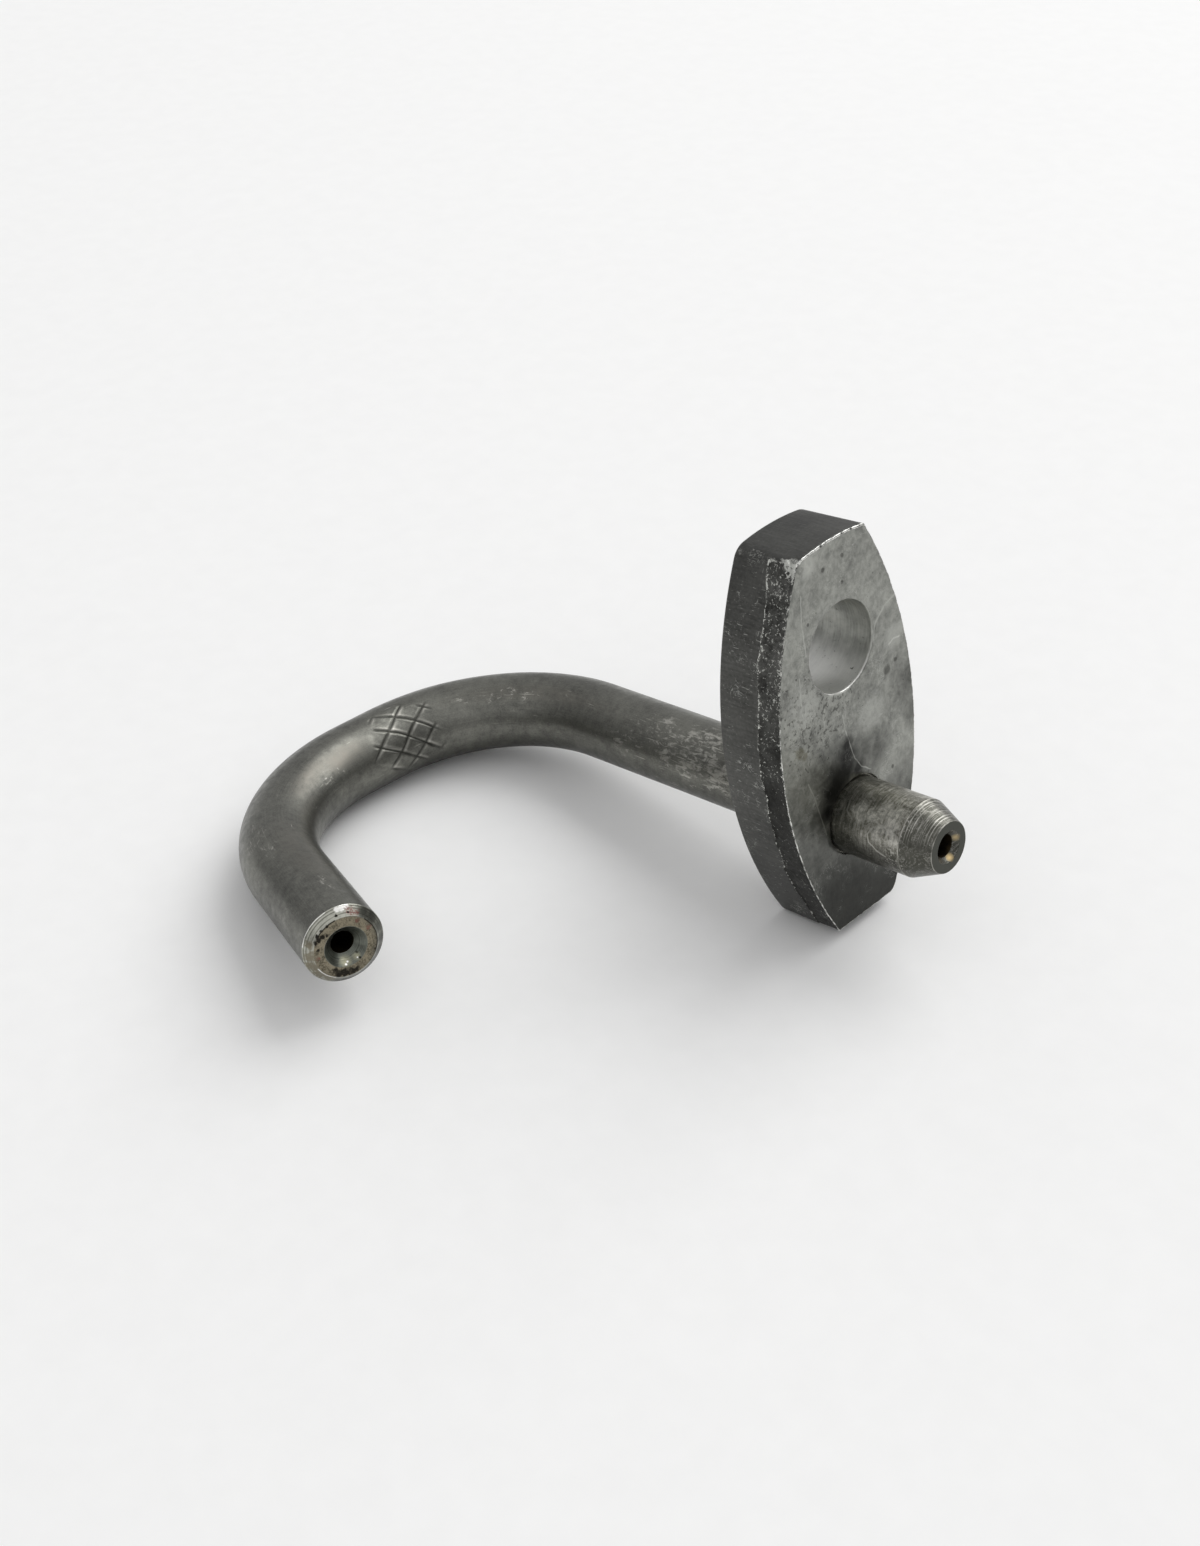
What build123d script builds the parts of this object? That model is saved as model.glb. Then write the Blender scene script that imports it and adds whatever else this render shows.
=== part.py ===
"""Piston cooling nozzle: a bent oil tube brazed through a blanked mounting flange.

The frame is the one in which the nozzle is fitted. The origin is where the spigot's axis
crosses the flange's seat face. +X points out of that face along the spigot, +Z points up the
flange's long side from the spigot to the bolt hole, and the tube hooks round towards -Y.
All lengths are in millimetres and all angles in degrees.
"""

import os
from math import atan2, degrees, sqrt

from build123d import *

# Tube
tube_diameter = 8.0
bore_diameter = 2.3
straight_length = 34.3  # from the seat face back to the first bend
bend_radius = 17.4  # of the tube's centreline
first_bend_angle = 85.0
bend_gap = 4.1  # straight length between the two bends
second_bend_angle = 77.5
nozzle_leg = 15.0  # from the second bend to the nozzle's face

# Turned spigot that enters the oil gallery
spigot_diameter = 7.65
spigot_length = 10.7
taper_length = 2.9
spigot_tip_diameter = 5.1
inlet_mouth_diameter = 3.3
inlet_mouth_depth = 0.5

# Turned nozzle end
nozzle_chamfer = 0.8  # length along the axis
nozzle_face_diameter = 6.2
outlet_mouth_diameter = 4.2
outlet_mouth_depth = 1.0

# Blanked flange
flange_thickness = 7.2
flange_width = 19.2  # at its widest, midway between the two holes
side_arc_radius = 41.0
bottom_margin = 11.25  # from the spigot's axis to the flat bottom end
top_margin = 10.85  # from the bolt hole's axis to the highest point of the crowned top end
top_arc_radius = 26.0
top_corner_radius = 1.0
bottom_corner_radius = 0.8
die_roll_radius = 0.25  # of the edge that the punch drew in
sheared_share = 0.645  # share of the thickness that was sheared smooth
break_taper = 0.1  # how far the torn zone has drawn in at the seat face
bolt_hole_diameter = 8.9
bolt_pitch = 18.0  # between the spigot's axis and the bolt hole's

# Brazed joint
braze_clearance = 0.03  # radial gap between the tube and its hole
braze_leg = 1.1  # of the fillet on the back face
hole_edge_break = 0.25  # chamfer of the tube's hole at the seat face

tube_radius = tube_diameter / 2
bore_radius = bore_diameter / 2
spigot_radius = spigot_diameter / 2
tube_hole_radius = tube_radius + braze_clearance


def tube_centreline():
    """The bent stretch of the centreline, from the seat face to the nozzle's face."""
    run = Line((0, 0, 0), (-straight_length, 0, 0))
    bend_one = JernArc(run @ 1, run % 1, bend_radius, first_bend_angle)
    gap = Line(bend_one @ 1, bend_one @ 1 + (bend_one % 1) * bend_gap)
    bend_two = JernArc(gap @ 1, gap % 1, bend_radius, second_bend_angle)
    leg = Line(bend_two @ 1, bend_two @ 1 + (bend_two % 1) * nozzle_leg)
    return Wire([run, bend_one, gap, bend_two, leg])


def swept_round(path, radius):
    """A round bar of one radius along a path."""
    start = Plane(origin=path @ 0, z_dir=path % 0)
    return sweep(start * Circle(radius), path=path)


def turned(points, end):
    """A solid turned about the axis of a plane: each point is (distance along the axis, radius)."""
    profile = make_face(Polyline(*[(radius, along) for along, radius in points], close=True))
    return end * revolve(Plane.XZ * profile, axis=Axis.Z)


def make_tube():
    path = tube_centreline()
    seat = Plane(origin=(0, 0, 0), x_dir=(0, 1, 0), z_dir=(1, 0, 0))
    nozzle = Plane(origin=path @ 1, z_dir=path % 1)

    bar = swept_round(path, tube_radius)
    spigot = turned(
        [
            (0, 0),
            (0, spigot_radius),
            (spigot_length - taper_length, spigot_radius),
            (spigot_length, spigot_tip_diameter / 2),
            (spigot_length, 0),
        ],
        seat,
    )
    chamfer = turned(
        [
            (-nozzle_chamfer, tube_radius),
            (-nozzle_chamfer, tube_diameter),
            (nozzle_chamfer, tube_diameter),
            (nozzle_chamfer, nozzle_face_diameter / 2),
            (0, nozzle_face_diameter / 2),
        ],
        nozzle,
    )
    outlet_mouth = turned(
        [
            (-outlet_mouth_depth, 0),
            (-outlet_mouth_depth, bore_radius),
            (0, outlet_mouth_diameter / 2),
            (nozzle_chamfer, outlet_mouth_diameter / 2),
            (nozzle_chamfer, 0),
        ],
        nozzle,
    )
    inlet_mouth = turned(
        [
            (spigot_length - inlet_mouth_depth, 0),
            (spigot_length - inlet_mouth_depth, bore_radius),
            (spigot_length, inlet_mouth_diameter / 2),
            (spigot_length + nozzle_chamfer, inlet_mouth_diameter / 2),
            (spigot_length + nozzle_chamfer, 0),
        ],
        seat,
    )
    bore = swept_round(path, bore_radius)
    bore += turned(
        [(0, 0), (0, bore_radius), (spigot_length, bore_radius), (spigot_length, 0)], seat
    )
    return bar + spigot - chamfer - outlet_mouth - inlet_mouth - bore


def flange_outline(inset):
    """The barrel outline on the YZ plane, drawn in by an inset: two side arcs, a crowned top
    and a flat bottom."""
    widest = bolt_pitch / 2
    bottom = inset - bottom_margin
    crown_radius = top_arc_radius - inset
    crown_centre = bolt_pitch + top_margin - top_arc_radius
    side_centre = side_arc_radius - flange_width / 2
    side_disc = Circle(side_arc_radius - inset)
    outline = Pos(side_centre, widest) * side_disc & Pos(-side_centre, widest) * side_disc
    outline &= Pos(0, crown_centre) * Circle(crown_radius)
    above_bottom = Rectangle(
        2 * flange_width, 2 * (bolt_pitch + top_margin), align=(Align.CENTER, Align.MIN)
    )
    outline &= Pos(0, bottom) * above_bottom
    outline = fillet(outline.vertices().sort_by(Axis.Y)[:2], bottom_corner_radius - inset)
    return fillet(outline.vertices().sort_by(Axis.Y)[-2:], top_corner_radius - inset)


def make_flange():
    sheared = flange_thickness * sheared_share
    break_line = sheared - flange_thickness
    back = Plane.YZ.offset(-flange_thickness)
    smooth_zone = extrude(back * flange_outline(0), amount=sheared)
    smooth_zone = fillet(smooth_zone.faces().sort_by(Axis.X)[0].outer_wire().edges(), die_roll_radius)
    torn_zone = loft(
        [
            Plane.YZ.offset(break_line) * flange_outline(0),
            Plane.YZ * flange_outline(break_taper),
        ]
    )
    plate = smooth_zone + torn_zone

    bolt_hole = back * Pos(0, bolt_pitch) * Cylinder(
        bolt_hole_diameter / 2, flange_thickness, align=(Align.CENTER, Align.CENTER, Align.MIN)
    )
    tube_hole = back * Cylinder(
        tube_hole_radius, flange_thickness, align=(Align.CENTER, Align.CENTER, Align.MIN)
    )
    edge_break = Plane.YZ * Cone(
        tube_hole_radius,
        tube_hole_radius + hole_edge_break,
        hole_edge_break,
        align=(Align.CENTER, Align.CENTER, Align.MAX),
    )
    return plate - bolt_hole - tube_hole - edge_break


def make_braze():
    """The filler's hollow fillet, in the corner between the tube and the flange's back face."""
    back = Plane(origin=(-flange_thickness, 0, 0), x_dir=(0, 1, 0), z_dir=(1, 0, 0))
    corner = (tube_radius, 0)
    foot = (tube_radius + braze_leg, 0)
    toe = (tube_radius, -braze_leg)
    reach = braze_leg / 3  # of the hollow's deepest point, from the corner
    hollow = ThreePointArc(foot, (tube_radius + reach, -reach), toe)
    profile = make_face([hollow, Line(toe, corner), Line(corner, foot)])
    return back * revolve(Plane.XZ * profile, axis=Axis.Z)


def rest_tilt():
    """How far the nozzle leans back when it is laid down: on the rounded low back edge of the
    flange and the underside of the hook."""
    centreline = tube_centreline().bounding_box()
    edge_x = die_roll_radius - flange_thickness
    edge_z = die_roll_radius - bottom_margin
    run = edge_x - centreline.min.X
    span = sqrt(run**2 + edge_z**2)
    to_the_axis = atan2(-edge_z, run)
    to_the_floor = atan2(tube_radius - die_roll_radius, sqrt(span**2 - (tube_radius - die_roll_radius) ** 2))
    return degrees(to_the_axis - to_the_floor)


def main():
    os.makedirs("parts", exist_ok=True)
    pieces = {
        "mounting_flange": make_flange(),
        "nozzle_tube": make_tube(),
        "braze_fillet": make_braze(),
    }
    for name, piece in pieces.items():
        piece.label = name
        export_step(piece, f"parts/{name}.step")
    print("tilt at rest", round(rest_tilt(), 2), "degrees")


main()
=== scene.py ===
import math
from functools import partial

import bpy
import numpy as np
from mathutils import Euler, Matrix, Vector, noise
from mathutils.geometry import delaunay_2d_cdt


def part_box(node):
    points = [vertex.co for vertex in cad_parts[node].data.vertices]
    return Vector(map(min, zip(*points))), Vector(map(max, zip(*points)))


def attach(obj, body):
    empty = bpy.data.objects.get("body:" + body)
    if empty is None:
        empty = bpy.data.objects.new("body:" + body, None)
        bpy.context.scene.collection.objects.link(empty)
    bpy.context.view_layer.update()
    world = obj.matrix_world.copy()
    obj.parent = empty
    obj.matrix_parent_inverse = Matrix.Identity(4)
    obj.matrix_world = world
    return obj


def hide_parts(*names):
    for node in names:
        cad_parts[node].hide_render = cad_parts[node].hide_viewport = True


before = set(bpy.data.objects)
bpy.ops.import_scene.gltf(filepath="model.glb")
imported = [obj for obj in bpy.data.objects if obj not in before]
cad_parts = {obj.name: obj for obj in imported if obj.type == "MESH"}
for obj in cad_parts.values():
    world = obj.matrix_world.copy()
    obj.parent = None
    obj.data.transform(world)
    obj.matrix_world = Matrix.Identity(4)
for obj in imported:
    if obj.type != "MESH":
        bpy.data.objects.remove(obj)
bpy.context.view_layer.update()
mm = 0.001  # every length below is in millimetres, and Blender's unit is the metre
print("the packed nozzle is loaded")


# Shared helpers

def linearColour(code):  # an sRGB hex code, as a picker shows it, in Blender's linear values
    parts = [int(code[i:i + 2], 16) / 255 for i in (1, 3, 5)]
    return [p / 12.92 if p <= 0.04045 else ((p + 0.055) / 1.055) ** 2.4 for p in parts] + [1.0]


def addNode(tree, kind, inputs=(), stops=(), output=None, **settings):
    # inputs go by name, or in the order of the sockets in use; sockets are linked, and a hex code is a colour
    node = tree.nodes.new("ShaderNode" + kind)
    for key, value in settings.items():
        setattr(node, key, value)
    if not isinstance(inputs, dict):
        inputs = dict(zip([k for k, socket in enumerate(node.inputs) if socket.enabled], inputs))
    for key, value in inputs.items():
        if isinstance(value, bpy.types.NodeSocket):
            tree.links.new(value, node.inputs[key])
        else:
            node.inputs[key].default_value = linearColour(value) if isinstance(value, str) else value
    if stops:
        marks = node.color_ramp.elements
        while len(marks) < len(stops):
            marks.new(1.0)
        for mark, (position, colour) in zip(marks, stops):
            mark.position = position
            mark.color = linearColour(colour)
    if output is not None:
        return node.outputs[output]
    return next((socket for socket in node.outputs if socket.enabled), None)


def makeMaterial(finish, look):
    # the finish adds its nodes, and returns the tone of its coat, the (mask, colour) layers over it,
    # its relief and its roughness
    material = bpy.data.materials.new(finish.__name__)
    material.use_nodes = True
    material.node_tree.nodes.clear()
    add = partial(addNode, material.node_tree)
    place = add("TexCoord", output="Object")
    place = add("VectorMath", (place, 1 / mm), operation="SCALE")
    tone, layers, relief, roughness = finish(add, place, look)
    colour = add("ValToRGB", [tone], look["coat"])
    for mask, over in layers:
        colour = add("Mix", (mask, colour, over), data_type="RGBA")
    shader = {"Base Color": colour, "Metallic": 1.0, "Roughness": roughness, **look.get("shader", {})}
    if relief:
        strength, depth = look["bump"]
        shader["Normal"] = add("Bump", {"Strength": strength, "Distance": depth * mm, "Height": relief})
    add("OutputMaterial", [add("BsdfPrincipled", shader)])
    return material


def softPatterns(add, place, patterns):
    # noise of each entry: the size of its features, one for all ways or one for each axis, then its detail,
    # roughness and warp, and any turn
    found = []
    for size, detail, roughness, warp, *turn in patterns.values():
        lying = add("Mapping", {
            "Vector": place, "Rotation": turn[0] if turn else (0, 0, 0), "Scale": list(np.ones(3) / size)})
        found.append(add("TexNoise", {
            "Vector": lying, "Scale": 1.0, "Detail": detail, "Roughness": roughness, "Distortion": warp}))
    return found


def nearMask(add, value, middle, edge, core, strength=1.0):
    # how near a value is to a middle one, which turns soft noise into thin threads
    away = add("Math", (value, middle), operation="SUBTRACT")
    away = add("Math", [away], operation="ABSOLUTE")
    return add("MapRange", (away, edge, core, 0.0, strength))


def spotMask(add, place, spots, strength=1.0, ragged=0.35, crumbSize=0.5, core=0.55):
    # how far a point lies inside any of some round marks with ragged rims, each (x, y, z, radius), where
    # an x that is left out is 0
    crumble = add("TexNoise", {"Vector": place, "Scale": 1 / crumbSize, "Detail": 3.0})
    mask = 0.0
    for *centre, radius in spots:
        away = add("VectorMath", (place, [0.0, *centre][-3:]), operation="DISTANCE")
        rim = add("Math", (crumble, 2 * ragged * radius, away), operation="MULTIPLY_ADD")
        near = add("MapRange", (rim, (1 + ragged) * radius, (core + ragged) * radius, 0.0, strength))
        mask = add("Math", (mask, near), operation="MAXIMUM")
    return mask


def lineMask(add, place, lines, wander=0.35, waverSize=1.3):
    # how near a point lies to any of some wavering lines, each (strength, width, points)
    waver = add("TexNoise", {"Vector": place, "Scale": 1 / waverSize, "Detail": 3.0}, output="Color")
    waver = add("VectorMath", (waver, (0.5, 0.5, 0.5)), operation="SUBTRACT")
    waver = add("VectorMath", (waver, wander), operation="SCALE")
    moved = add("VectorMath", (place, waver), operation="ADD")
    mask = 0.0
    for strength, width, points in lines:
        points = [Vector([0.0, *point][-3:]) for point in points]
        for start, end in zip(points, points[1:]):
            run = end - start
            fromStart = add("VectorMath", (moved, start), operation="SUBTRACT")
            share = add("VectorMath", (fromStart, run / run.length_squared), operation="DOT_PRODUCT")
            foot = add("VectorMath", (run, add("Clamp", [share])), operation="SCALE")
            away = add("VectorMath", (fromStart, foot), operation="DISTANCE")
            near = add("MapRange", (away, width, 0.25 * width, 0.0, strength))
            mask = add("Math", (mask, near), operation="MAXIMUM")
    return mask


def smoothStep(low, high, value):
    t = np.clip((np.asarray(value, float) - low) / (high - low), 0, 1)
    return t * t * (3 - 2 * t)


def fractal(points, size, octaves=3, shift=0.0):  # soft noise from -1 to 1 at points in millimetres
    offset = Vector((shift, shift * 0.37, -shift))
    flat = np.asarray(points, float).reshape(-1, 3) / size
    values = [noise.fractal(Vector(p) + offset, 0.9, 2.0, octaves) for p in flat]
    return np.array(values).reshape(np.shape(points)[:-1])


def wallFaces(rows, columns, closed=False, first=0):  # quads between rings of points, round a closed ring
    row = np.arange(rows if closed else rows - 1)[:, None]
    column = np.arange(columns)[None, :]
    nextRow, nextColumn = (row + 1) % rows, (column + 1) % columns
    corners = [row * columns + column, row * columns + nextColumn,
               nextRow * columns + nextColumn, nextRow * columns + column]
    return np.stack([np.broadcast_to(c, (len(row), columns)) for c in corners], -1).reshape(-1, 4) + first


def buildPiece(name, points, faces, attributes, finishes, finishOf, wrap=None):
    mesh = bpy.data.meshes.new(name)
    mesh.from_pydata((np.asarray(points) * mm).tolist(), [], [list(map(int, f)) for f in faces])
    for key, values in attributes.items():
        layer = mesh.attributes.new(key, "FLOAT", "POINT")
        layer.data.foreach_set("value", np.asarray(values, np.float32).ravel())
    if wrap is not None:
        layer = mesh.uv_layers.new(name="wrap")
        layer.data.foreach_set("uv", np.asarray(wrap * mm, np.float32).ravel())
    for finish, look in finishes:
        mesh.materials.append(makeMaterial(finish, look))
    mesh.polygons.foreach_set("material_index", np.asarray(finishOf, np.int32))
    mesh.polygons.foreach_set("use_smooth", np.ones(len(mesh.polygons), bool))
    mesh.update()
    piece = bpy.data.objects.new(name, mesh)
    bpy.context.scene.collection.objects.link(piece)
    return piece


# Tube: a bent oil tube, turned at both ends

tubeBox = [np.array(corner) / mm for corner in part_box("nozzle_tube")]
tube = {
    "radius": tubeBox[1][2],
    "spigotLength": tubeBox[1][0],
    "straightLength": 34.3,
    "bendRadius": 17.4,
    "bends": (85.0, 77.5),  # degrees
    "bendGap": 4.1,
    "nozzleLeg": 15.0,
    "boreRadius": 1.15,
    "spigotRadius": 3.825,
    "taperLength": 2.9,
    "tipRadius": 2.55,
    "inletMouth": (1.65, 0.5),  # radius and depth
    "nozzleChamfer": 0.8,
    "nozzleFaceRadius": 3.1,
    "outletMouth": (2.1, 1.0),
    "rootGroove": 0.35,  # the thin dark gap round the spigot's root
    "edgeRounding": 0.05,
    "unevenness": (0.018, 7.0),  # how far the drawn wall strays from round, and the waves' size
    "wornCorners": (0.08, 0.12),  # width of the bright line at the taper's start and at the tip
    "ringStep": 0.33,
    "fineStep": 0.11,
    "fineSide": (-140.0, 20.0),  # degrees round the tube, from its top towards the inside of the hook
    "fineCount": 100,
    "coarseCount": 56,
}
grip = {  # the rhombic marks that a jaw left on the first bend
    "along": 69.7,
    "round": -4.9,
    "slopes": (0.68, -0.75),
    "pitches": (2.38, 2.9),
    "firstLines": (-2.06, -1.57),
    "reach": 4.7,
    "margin": 1.4,  # of the finer rings, over the reach
    "rimWaves": ((0.5, 1.9, 0.8), (0.4, -0.6, 2.7)),  # height, and waves along and round
    "rim": (0.72, 1.08),  # of the reach, where the marks begin to fade and end
    "grooveDepth": 0.09,
    "grooveWidth": 0.135,
    "lip": 0.02,
    "pressedIn": 0.03,
    "fade": (-9.2, -6.8),  # round the tube, where the marks die out below
}
tubeWearAndHighlights = {  # distance along, half its length, angle from the top, half its width in degrees, and strength
    "wear": [
        (80.0, 7.0, -56.0, 15.0, 0.4),
        (57.0, 11.0, -34.0, 17.0, 0.6),
        (27.0, 17.0, -52.0, 66.0, 1.0),
        (107.6, 2.6, -15.0, 14.0, 0.5),
        (98.0, 9.0, 30.0, 30.0, 0.35),
    ],
    "polishAndHighlight": [  # painted highlights, partly where handling polished it
        (78.5, 5.5, -44.0, 24.0, 1.0),
        (84.0, 7.0, -34.0, 22.0, 0.8),
        (91.0, 8.0, -62.0, 28.0, 0.5),
        (52.0, 15.0, -32.0, 20.0, 0.45),
        (101.0, 9.0, -25.0, 50.0, 0.55),
    ],
}
tubeLegs = [  # length, and the bend's radius or none
    (tube["spigotLength"] + tube["straightLength"], None),
    (math.radians(tube["bends"][0]) * tube["bendRadius"], tube["bendRadius"]),
    (tube["bendGap"], None),
    (math.radians(tube["bends"][1]) * tube["bendRadius"], tube["bendRadius"]),
    (tube["nozzleLeg"], None),
]
tubeLength = sum(length for length, radius in tubeLegs)


def followTube(along):  # centre, direction and outward side of the hook, at distances from the inlet's tip
    along = np.asarray(along, float)
    place, heading, start = np.array([tube["spigotLength"], 0.0]), math.pi, 0.0
    centre, turn = np.zeros(along.shape + (2,)), np.full(along.shape, heading)
    for length, radius in tubeLegs:
        here = along >= start
        for steps, last in ((along[here] - start, False), (np.array([length]), True)):
            angle = steps / radius if radius else np.zeros_like(steps)
            if radius:
                move = radius * np.stack([np.sin(heading + angle) - math.sin(heading),
                                          math.cos(heading) - np.cos(heading + angle)], -1)
            else:
                move = steps[:, None] * np.array([math.cos(heading), math.sin(heading)])
            if last:
                place, heading = place + move[0], heading + angle[0]
            else:
                centre[here], turn[here] = place + move, heading + angle
        start += length
    flat = np.zeros(along.shape + (1,))
    direction = np.concatenate([np.cos(turn)[..., None], np.sin(turn)[..., None], flat], -1)
    outward = np.stack([direction[..., 1], -direction[..., 0], direction[..., 2]], -1)
    return np.concatenate([centre, flat], -1), direction, outward


def tubeProfile():  # (distance along, radius, zone) of each ring, out over the tube and back through its bore
    end, edge, margin = tubeLength, tube["edgeRounding"], grip["margin"] * grip["reach"]
    inletRadius, inletDepth = tube["inletMouth"]
    outletRadius, outletDepth = tube["outletMouth"]
    root = tube["spigotLength"] + tube["rootGroove"]
    corners = [  # distance along, radius, step between rings and zone, up to the next
        (inletDepth, tube["boreRadius"], 0.1, "inlet"),
        (0.0, inletRadius, 0.12, "tip"),
        (0.0, tube["tipRadius"], 0.1, "taper"),
        (tube["taperLength"], tube["spigotRadius"], 0.14, "spigot"),
        (root, tube["spigotRadius"], 0.1, "shoulder"),
        (root, tube["radius"], tube["ringStep"], "body"),
        (grip["along"] - margin, tube["radius"], tube["fineStep"], "body"),
        (grip["along"] + margin, tube["radius"], tube["ringStep"], "body"),
        (end - tube["nozzleChamfer"], tube["radius"], 0.07, "chamfer"),
        (end, tube["nozzleFaceRadius"], 0.09, "face"),
        (end, outletRadius, 0.08, "outlet"),
        (end - outletDepth, tube["boreRadius"], 1.6, "bore"),
    ]
    rings = []
    for here, there in zip(corners, corners[1:] + corners[:1]):
        along, radius, step, zone = here
        length = math.dist(here[:2], there[:2])
        shares = set(np.linspace(0, 1, max(1, round(length / step)), endpoint=False))
        if zone != "bore":
            shares |= {edge / length, 1 - edge / length}
        for share in sorted(shares):
            rings.append((along + share * (there[0] - along), radius + share * (there[1] - radius), zone))
    return rings


def gripMarks(along, arc):  # depth to press in, and strength of the grooves and of the polish and painted highlight beside them
    distances, cells, bright, width = [], [], 0, grip["grooveWidth"]
    for slope, pitch, first in zip(grip["slopes"], grip["pitches"], grip["firstLines"]):
        value = (arc - first - slope * (along - grip["along"])) / pitch
        offLine = (value - np.round(value)) * pitch * math.cos(math.atan(slope))
        distances.append(np.abs(offLine))
        cells.append(value)
        # a painted highlight on one side of each groove, partly polish
        bright = bright + np.exp(-((offLine * math.copysign(1, slope) - 2.3 * width) / (1.1 * width)) ** 2)
    away = np.hypot(along - grip["along"], arc - grip["round"])
    wave = sum(height * np.sin(a * along + b * arc) for height, a, b in grip["rimWaves"])
    inside = (1 - smoothStep(*grip["rim"], (away + wave) / grip["reach"])) * smoothStep(*grip["fade"], arc)
    nearest = np.minimum(*distances)
    groove = np.exp(-(nearest / width) ** 2)
    lip = np.exp(-((nearest - 2.1 * width) / width) ** 2)
    depth = inside * (grip["grooveDepth"] * groove - grip["lip"] * lip + grip["pressedIn"])
    flicker = 0.55 + 0.45 * np.sin(5 * cells[0] + 3 * cells[1])  # so that no two cells are equally bright
    return depth, groove * inside, inside * (1 - groove) * bright * flicker


def makeTube():
    along, radius, zone = [np.array(values) for values in zip(*tubeProfile())]
    low, high = tube["fineSide"]
    degrees = np.concatenate([np.linspace(low, high, tube["fineCount"], endpoint=False),
                              np.linspace(high, low + 360, tube["coarseCount"], endpoint=False)])
    angle = np.radians(degrees)
    arc = angle * tube["radius"]
    centre, direction, outward = followTube(along)
    spoke = (np.cos(angle)[None, :, None] * np.array([0, 0, 1.0])
             + np.sin(angle)[None, :, None] * outward[:, None, :])

    onBody = (zone == "body")[:, None]
    rest = centre[:, None, :] + radius[:, None, None] * spoke
    depth, groove, cell = gripMarks(along[:, None], arc[None, :])
    stray, waveSize = tube["unevenness"]
    uneven = fractal(rest, waveSize, 2) * stray - stray
    inwards = np.where(onBody, depth - uneven * smoothStep(0, 3, tubeLength - along)[:, None], 0)
    points = rest - inwards[:, :, None] * spoke

    # marks for the materials: distance over the profile, grip marks, wear and painted highlights, and the
    # zones of the turned ends
    step = np.hypot(np.diff(along, prepend=along[0]), np.diff(radius, prepend=radius[0]))
    layers = {"turning": np.cumsum(step)[:, None], "groove": groove * onBody, "cell": cell * onBody}
    facing = np.where(degrees > 180, degrees - 360, degrees)[None, :]
    for key, patches in tubeWearAndHighlights.items():
        layers[key] = 0
        for place, halfLength, middle, halfWidth, strength in patches:
            away = np.hypot((along[:, None] - place) / halfLength, (facing - middle) / halfWidth)
            layers[key] = np.maximum(layers[key], strength * (1 - smoothStep(0.25, 1.0, away)) * onBody)
    atTaper, atTip = tube["wornCorners"]
    corners = np.exp(-((along - tube["taperLength"]) / atTaper) ** 2) + np.exp(-(along / atTip) ** 2)
    layers["rim"] = (corners * np.isin(zone, ("taper", "spigot")))[:, None]
    for key, name in (("tip", "tip"), ("film", "face"), ("mouth", "outlet")):
        layers[key] = (zone == name)[:, None]
    layers = {key: np.broadcast_to(values, depth.shape) for key, values in layers.items()}

    quads = wallFaces(*depth.shape, closed=True)
    finishOf = {"body": 0, "inlet": 1, "tip": 1, "taper": 1, "spigot": 1, "shoulder": 1, "bore": 3}
    here, there = along[:, None], np.roll(along, -1)[:, None]
    ends = np.append(arc, arc[0] + 2 * math.pi * tube["radius"])
    left, right = ends[None, :-1], ends[None, 1:]
    corners = ((left, here), (right, here), (right, there), (left, there))
    wrap = np.stack([np.broadcast_to(value, depth.shape) for corner in corners for value in corner], -1)
    piece = buildPiece("oilTube", points.reshape(-1, 3), quads, layers, [
        (phosphatedTubeSteel, tubeFinish), (turnedSpigotSteel, spigotFinish),
        (turnedNozzleSteel, nozzleFinish), (oiledBoreSteel, boreFinish)],
        np.repeat([finishOf.get(name, 2) for name in zone], len(angle)), wrap)
    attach(piece, "root")
    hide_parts("nozzle_tube")
    print("tube:", len(quads) * 2, "triangles")


# In each finish, the coat is a list of tones, from 0 to 1, and their colours. A range says where a value
# starts to count and where it counts in full, and then how much at both.
tubeFinish = {
    "coat": ((0.38, "#585854"), (0.6, "#7f7f78")),
    # painted highlights, partly polish where it was held
    "polished": "#6e6b64",
    "worn": "#c6c4bc",
    "groove": "#292925",
    "scratch": "#bfbdb4",
    "roughness": (0.3, 0.7, 0.44, 0.3),
    "shader": {"Metallic": 0.95},  # the coat is thin, and a little dull between its grains
    "bump": (0.2, 0.05),  # strength and depth
    "soft": {  # each pattern's feature size, detail, roughness and warp
        "cloud": (8.0, 3, 0.5, 0),
        "mottle": (0.9, 5, 0.65, 0),
        "grain": (0.16, 2, 0.5, 0),
        "drift": (3.2, 3, 0.6, 0),
    },
    "wrapped": {  # the same with sizes round the tube and along it, and a turn in radians
        "drawn": ((0.1, 5.0, 1), 3, 0.5, 0),  # the lines that drawing left
        "crumbs": ((0.45, 1.1, 1), 7, 0.68, 0.8, (0, 0, 0.25)),
        "hairs": ((0.2, 3.0, 1), 1, 0.5, 0, (0, 0, 0.5)),
    },
    "cellShare": 0.5,  # how much the polish and painted highlight between the grip's grooves show, and the grooves
    "grooveShare": 0.8,
    "underside": (-0.8, -3.0, 0, 0.65),  # painted shade underneath, by height
    "patchy": (0.32, 0.62, 0.35, 1),
    "rubbed": (0.9, 1.04, 0, 0.7),
    "allowed": (0, 0.3, 0.25, 1),  # crumbs by wear
    "hairs": (0.74, 0.81, 0, 0.7),
}


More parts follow.
